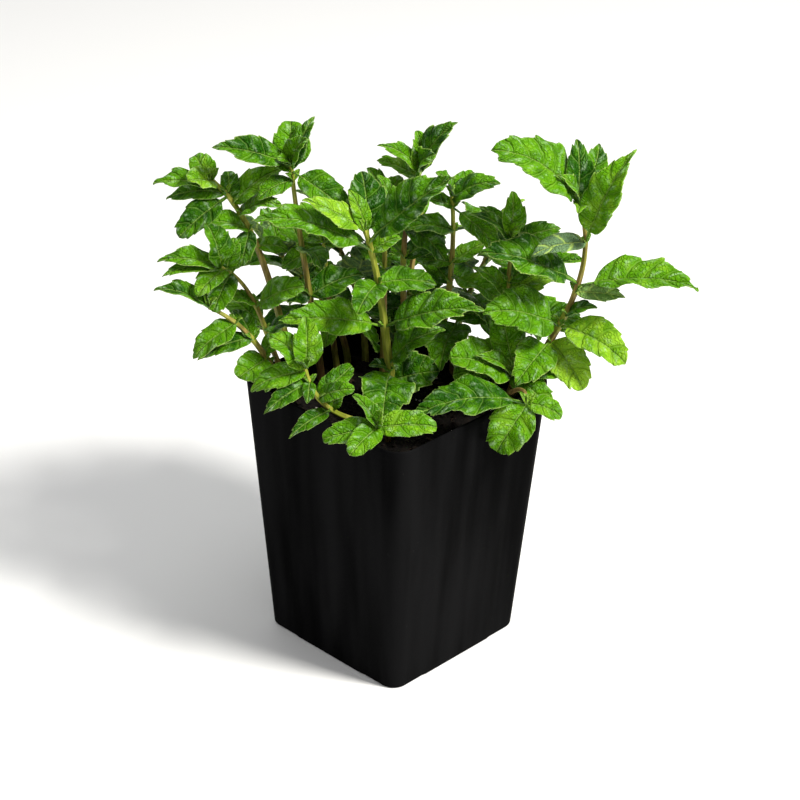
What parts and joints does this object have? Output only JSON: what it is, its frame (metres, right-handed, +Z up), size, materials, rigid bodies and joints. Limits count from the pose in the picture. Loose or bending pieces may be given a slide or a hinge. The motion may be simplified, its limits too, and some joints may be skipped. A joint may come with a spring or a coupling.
{
  "type": "potted mint plant",
  "caption": "Bushy mint plant with toothed, wrinkled leaves on square stems, growing in a tall square black nursery pot filled with potting mix.",
  "frame": {"origin": "centre of the pot's flat base, on the surface that it stands on", "axes": "+Z up; X and Y run along the pot's sides; the picture looks at the corner between +X and -Y"},
  "size_m": [0.191, 0.173, 0.2453],
  "materials": {
    "pot": "thin moulded black plastic, satin, with pale scuffs",
    "soil": "damp dark bark and peat mix with a few pale specks",
    "leaf": "wrinkled green leaf with a soft gloss, sunk veins and a pale margin",
    "stem": "olive to purple-brown square stem"
  },
  "bodies": {
    "root": {"pot": "pot", "soil": "soil", "stem_centre": "leaf", "stem_right_tall": "leaf", "stem_right_low": "leaf", "stem_right_trailing": "leaf", "stem_front": "leaf", "stem_front_left": "leaf", "stem_left_tall": "leaf", "stem_top_left": "leaf", "stem_top_middle": "leaf", "stem_middle_back": "leaf", "stem_middle_right": "leaf", "stem_right_middle": "leaf", "stem_left_middle": "leaf", "stem_left_low": "leaf", "stem_back_left": "leaf", "stem_far_left": "leaf", "stem_far_back": "leaf", "stem_back": "leaf", "stem_back_low": "leaf", "stem_far_right": "leaf", "stem_right_back": "leaf"}
  },
  "joints": []
}
